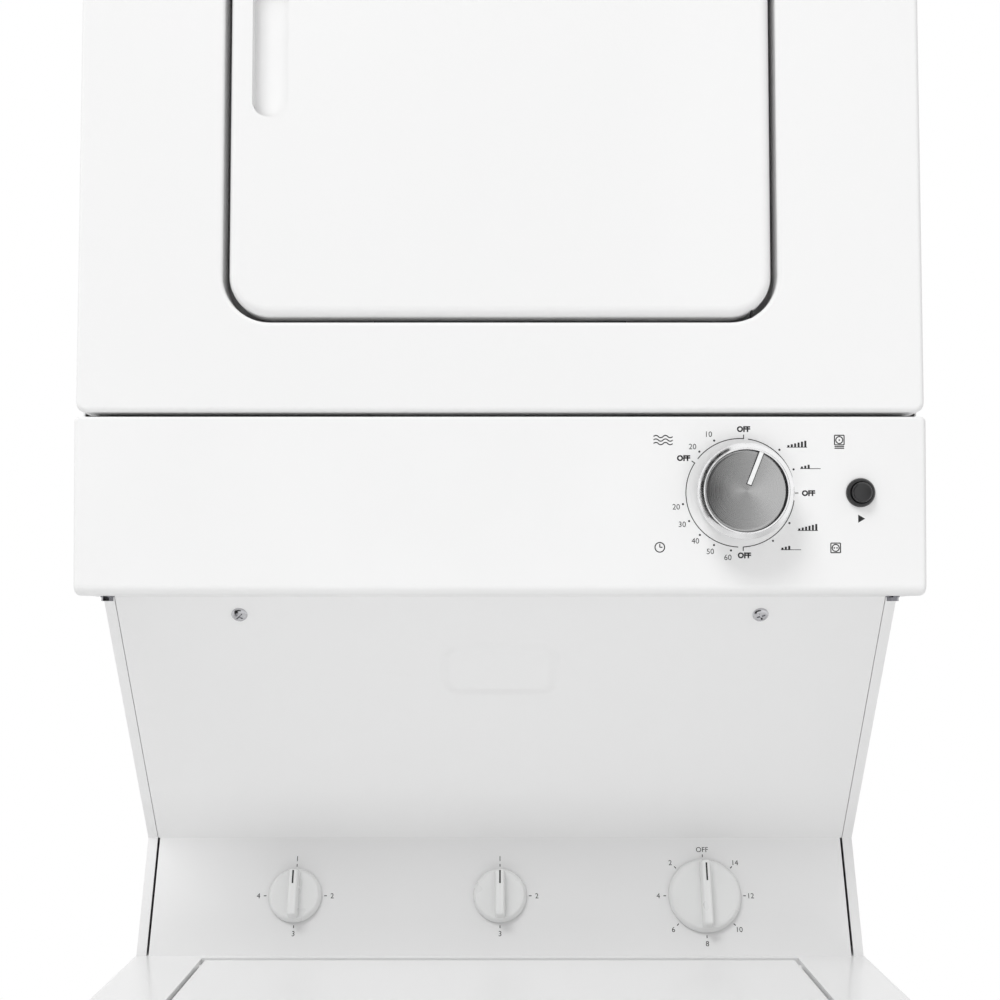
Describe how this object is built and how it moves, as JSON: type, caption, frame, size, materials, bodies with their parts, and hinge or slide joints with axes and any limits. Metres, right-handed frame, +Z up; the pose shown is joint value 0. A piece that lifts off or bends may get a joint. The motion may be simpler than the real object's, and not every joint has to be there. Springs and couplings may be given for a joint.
{
  "type": "stacked washer and dryer",
  "caption": "White stacked laundry centre: a top-loading washer below, a front-loading tumble dryer above, with a dial and start button on the dryer's lower console.",
  "frame": {"origin": "on the floor under the middle of the stack's bounding box", "axes": "+X to the user's right, +Y to the back, +Z up; the front faces -Y"},
  "size_m": [0.606, 0.692, 1.822],
  "materials": {
    "white_enamel": "gloss white enamel on sheet steel",
    "white_plastic": "moulded white plastic",
    "knob_silver": "silver-finished moulding with a bright ring",
    "black_plastic": "glossy dark moulding",
    "screw_steel": "bright plated screws and pins",
    "galvanised": "bare galvanised sheet",
    "tub_plastic": "moulded tub plastic",
    "porcelain": "speckled porcelain on steel",
    "agitator_plastic": "smooth moulded plastic",
    "rubber": "black rubber",
    "seal_rubber": "grey felt-faced rubber",
    "motor_paint": "dark motor paint",
    "cast_alloy": "cast alloy",
    "duct_plastic": "grey moulded duct plastic"
  },
  "bodies": {
    "stack": {"washer_cabinet": "white_enamel", "washer_rear_panel": "galvanised", "washer_base": "galvanised", "outer_tub": "tub_plastic", "suspension_rods": "galvanised", "tub_ring": "tub_plastic", "gearcase": "cast_alloy", "washer_motor": "motor_paint", "washer_belt": "rubber", "drain_pump": "duct_plastic", "drain_outlet": "duct_plastic", "washer_top": "white_enamel", "washer_console": "white_plastic", "support_left": "white_enamel", "support_right": "white_enamel", "recess_panel": "white_enamel", "panel_screws": "screw_steel", "stand_rear_panel": "galvanised", "inlet_valve": "duct_plastic", "dryer_base": "galvanised", "dryer_cabinet": "white_enamel", "dryer_rear_panel": "galvanised", "dryer_front_panel": "white_enamel", "door_hinges": "screw_steel", "dryer_console": "white_plastic", "console_screws": "screw_steel", "dryer_timer": "duct_plastic", "start_switch": "black_plastic", "front_bulkhead": "white_enamel", "blower_housing": "duct_plastic", "exhaust_duct": "galvanised", "dryer_motor": "motor_paint", "drum_belt": "rubber", "rear_bulkhead": "galvanised", "heater_box": "galvanised"},
    "foot_front_left_body": {"foot_front_left": "rubber"},
    "foot_front_right_body": {"foot_front_right": "rubber"},
    "foot_rear_left_body": {"foot_rear_left": "rubber"},
    "foot_rear_right_body": {"foot_rear_right": "rubber"},
    "basket": {"wash_basket": "porcelain", "balance_ring": "agitator_plastic", "washer_drive_pulley": "cast_alloy"},
    "agitator_set": {"agitator": "agitator_plastic", "agitator_cap": "agitator_plastic"},
    "washer_rotor": {"washer_motor_pulley": "galvanised"},
    "lid": {"washer_lid": "white_enamel"},
    "level_control": {"water_level_knob": "white_plastic"},
    "temp_control": {"water_temp_knob": "white_plastic"},
    "cycle_control": {"cycle_knob": "white_plastic"},
    "door": {"dryer_door": "white_enamel", "door_liner": "white_plastic", "door_seal": "seal_rubber"},
    "drum": {"dryer_drum": "porcelain", "drum_baffles": "agitator_plastic"},
    "dryer_rotor": {"dryer_motor_pulley": "galvanised", "blower_wheel": "duct_plastic"},
    "idler": {"idler_pulley": "duct_plastic"},
    "lint": {"lint_screen": "duct_plastic"},
    "timer_control": {"timer_knob": "knob_silver"},
    "start_control": {"start_button": "black_plastic"}
  },
  "joints": [
    {"name": "foot_front_left_turn", "type": "hinge", "parent": "stack", "child": "foot_front_left_body", "pos_m": [-0.255, -0.298, 0.03], "axis": [0, 0, 1], "continuous": true},
    {"name": "foot_front_right_turn", "type": "hinge", "parent": "stack", "child": "foot_front_right_body", "pos_m": [0.255, -0.298, 0.03], "axis": [0, 0, 1], "continuous": true},
    {"name": "foot_rear_left_turn", "type": "hinge", "parent": "stack", "child": "foot_rear_left_body", "pos_m": [-0.255, 0.2726, 0.03], "axis": [0, 0, 1], "continuous": true},
    {"name": "foot_rear_right_turn", "type": "hinge", "parent": "stack", "child": "foot_rear_right_body", "pos_m": [0.255, 0.2726, 0.03], "axis": [0, 0, 1], "continuous": true},
    {"name": "basket_spin", "type": "hinge", "parent": "stack", "child": "basket", "pos_m": [0, -0.1, 0.45], "axis": [0, 0, 1], "continuous": true},
    {"name": "agitator_swing", "type": "hinge", "parent": "basket", "child": "agitator_set", "pos_m": [0, -0.1, 0.45], "axis": [0, 0, 1], "range_deg": [-105, 105]},
    {"name": "washer_motor_spin", "type": "hinge", "parent": "stack", "child": "washer_rotor", "pos_m": [0, 0.066, 0.2], "axis": [0, 0, 1], "continuous": true},
    {"name": "lid_hinge", "type": "hinge", "parent": "stack", "child": "lid", "pos_m": [0, -0.024, 0.843], "axis": [-1, 0, 0], "range_deg": [0, 66]},
    {"name": "level_knob_turn", "type": "hinge", "parent": "stack", "child": "level_control", "pos_m": [-0.17, 0.01138, 0.895], "axis": [0, 0.9329, -0.3602], "range_deg": [0, 270]},
    {"name": "temp_knob_turn", "type": "hinge", "parent": "stack", "child": "temp_control", "pos_m": [0, 0.01138, 0.895], "axis": [0, 0.9329, -0.3602], "range_deg": [0, 180]},
    {"name": "cycle_knob_turn", "type": "hinge", "parent": "stack", "child": "cycle_control", "pos_m": [0.17, 0.01138, 0.895], "axis": [0, 0.9329, -0.3602], "continuous": true},
    {"name": "door_hinge", "type": "hinge", "parent": "stack", "child": "door", "pos_m": [0.1805, -0.172, 1.5415], "axis": [0, 0, 1], "range_deg": [0, 115]},
    {"name": "drum_spin", "type": "hinge", "parent": "stack", "child": "drum", "pos_m": [0, 0.1, 1.545], "axis": [0, 1, 0], "continuous": true},
    {"name": "dryer_motor_spin", "type": "hinge", "parent": "stack", "child": "dryer_rotor", "pos_m": [0, 0, 1.203], "axis": [0, 1, 0], "continuous": true},
    {"name": "idler_spin", "type": "hinge", "parent": "stack", "child": "idler", "pos_m": [0.11399, 0.082, 1.24977], "axis": [0, 1, 0], "continuous": true},
    {"name": "lint_slide", "type": "slide", "parent": "stack", "child": "lint", "axis": [0, 0, 1], "range_m": [0, 0.14]},
    {"name": "timer_knob_turn", "type": "hinge", "parent": "stack", "child": "timer_control", "pos_m": [0.1703, -0.17812, 1.2148], "axis": [0, 0.9994, 0.0346], "continuous": true},
    {"name": "start_press", "type": "slide", "parent": "stack", "child": "start_control", "axis": [0, 0.9994, 0.0346], "range_m": [0, 0.003], "stiffness_N_per_m": 600}
  ],
  "couplings": [
    {"joint": "washer_motor_spin", "follows": "basket_spin", "ratio": 4.9462},
    {"joint": "dryer_motor_spin", "follows": "drum_spin", "ratio": 18.622},
    {"joint": "idler_spin", "follows": "drum_spin", "ratio": -10.644}
  ]
}
